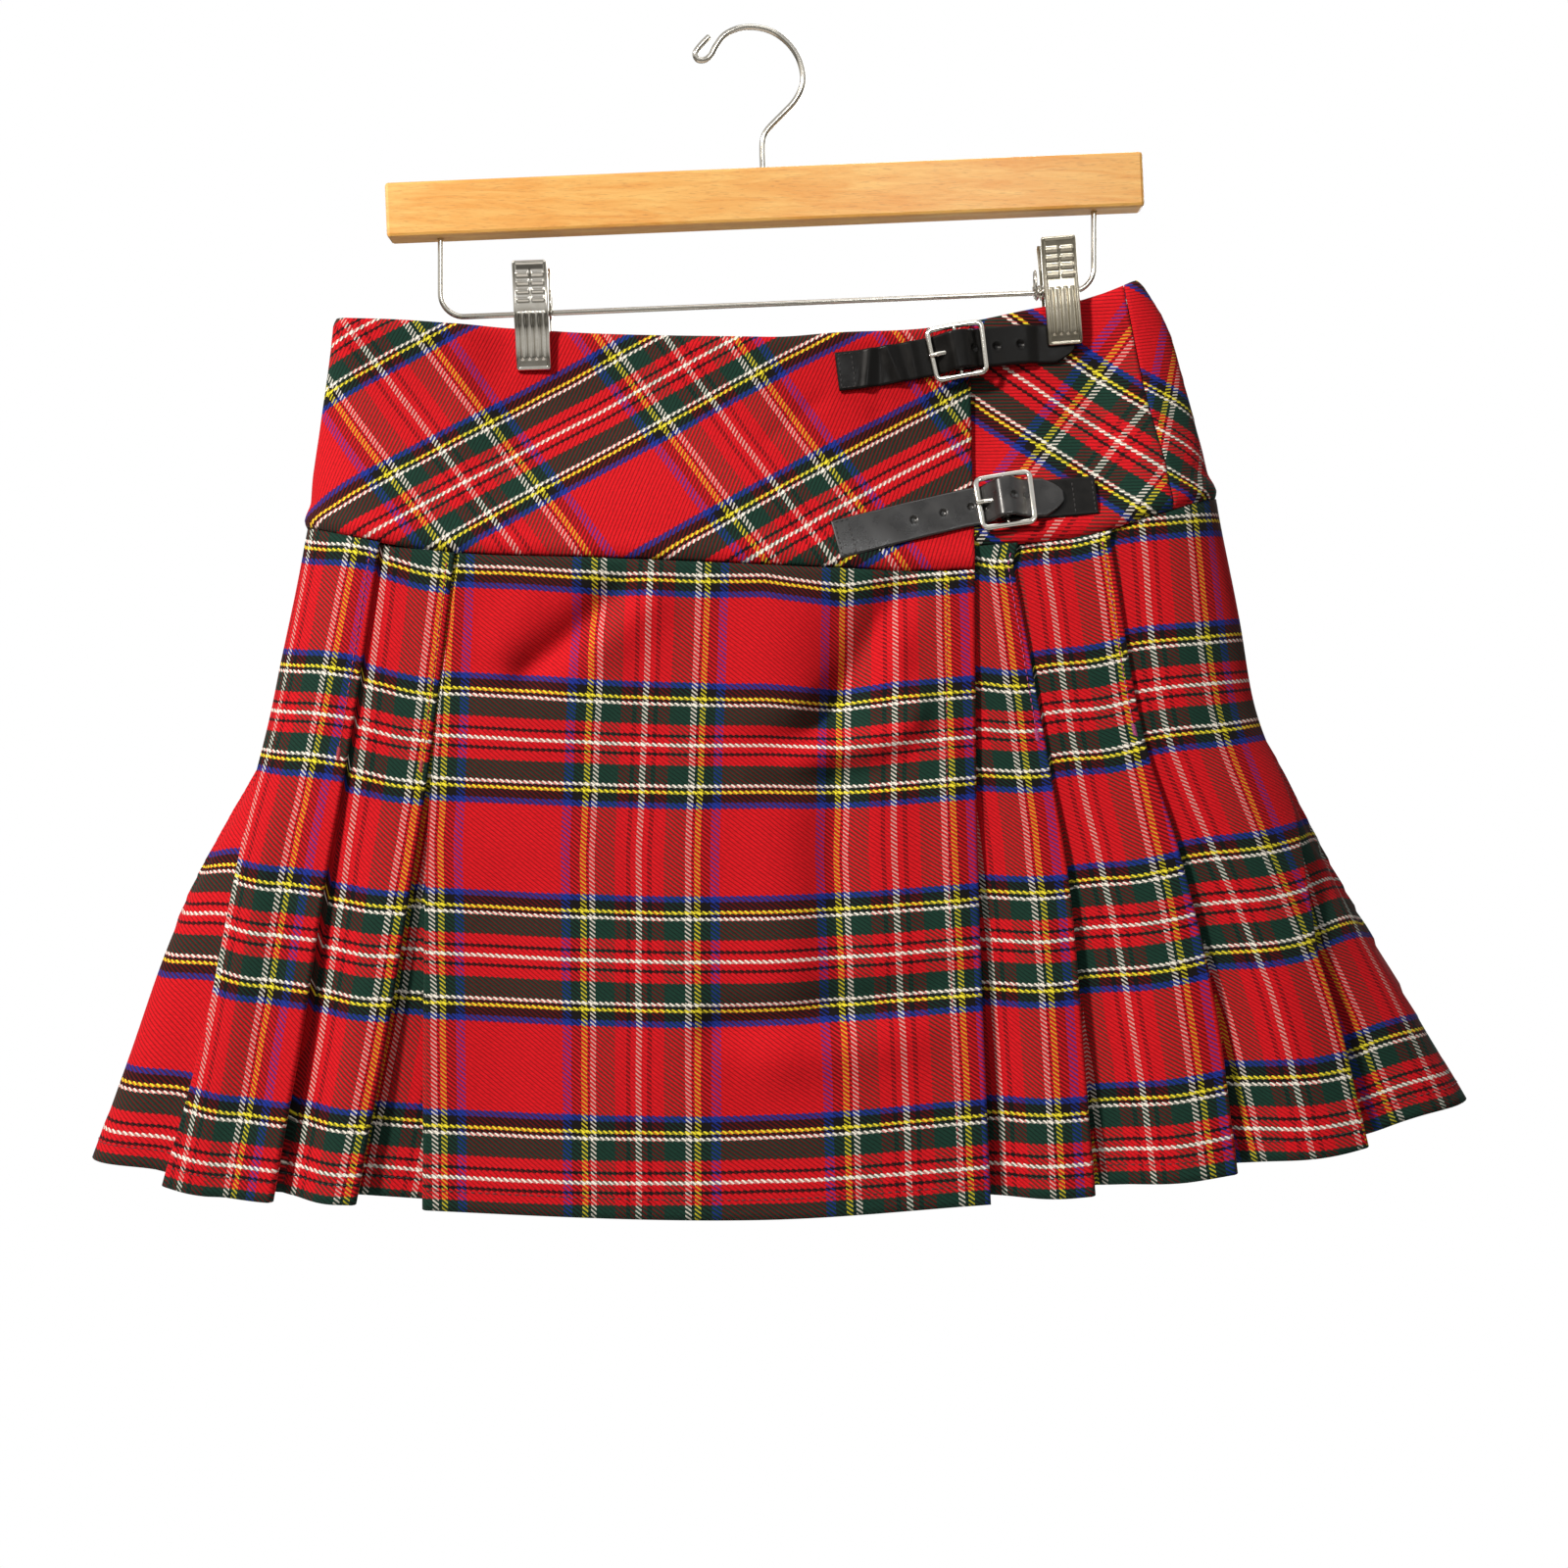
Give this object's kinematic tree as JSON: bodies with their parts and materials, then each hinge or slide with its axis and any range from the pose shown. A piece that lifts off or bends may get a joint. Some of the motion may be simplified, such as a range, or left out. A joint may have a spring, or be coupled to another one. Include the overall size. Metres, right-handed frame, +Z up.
{
  "type": "scottish kilt on a clip hanger",
  "caption": "Pleated tartan mini kilt with a bias hip yoke and strap-and-buckle closures, hanging from a wooden clip hanger by its hook.",
  "frame": {"origin": "underside of the hanger hook's crown, where the rail bears", "axes": "+X to the viewer's right of the front, +Y from the front of the kilt to its back, +Z up"},
  "size_m": [0.6374, 0.0868, 0.5551],
  "materials": {
    "tartan_skirt": "woven twill tartan, straight grain",
    "tartan_yoke": "woven twill tartan, cut on the bias",
    "black_leather": "smooth semi-gloss",
    "bright_nickel": "polished nickel plate",
    "pale_beech": "clear satin lacquer"
  },
  "bodies": {
    "root": {"yoke_front": "tartan_yoke", "yoke_side": "tartan_yoke", "yoke_back": "tartan_yoke", "apron": "tartan_skirt", "pleats_right": "tartan_skirt", "pleats_back": "tartan_skirt", "pleats_left": "tartan_skirt", "strap_upper": "black_leather", "strap_lower": "black_leather", "buckle_tab_upper": "black_leather", "buckle_tab_lower": "black_leather", "buckle_upper": "bright_nickel", "buckle_lower": "bright_nickel", "prong_upper": "bright_nickel", "prong_lower": "bright_nickel", "hanger_bar": "pale_beech", "hanger_hook": "bright_nickel", "hanger_wire": "bright_nickel", "clip_left_front": "bright_nickel", "clip_left_rear": "bright_nickel", "clip_left_spring": "bright_nickel", "clip_right_front": "bright_nickel", "clip_right_rear": "bright_nickel", "clip_right_spring": "bright_nickel"}
  },
  "joints": []
}
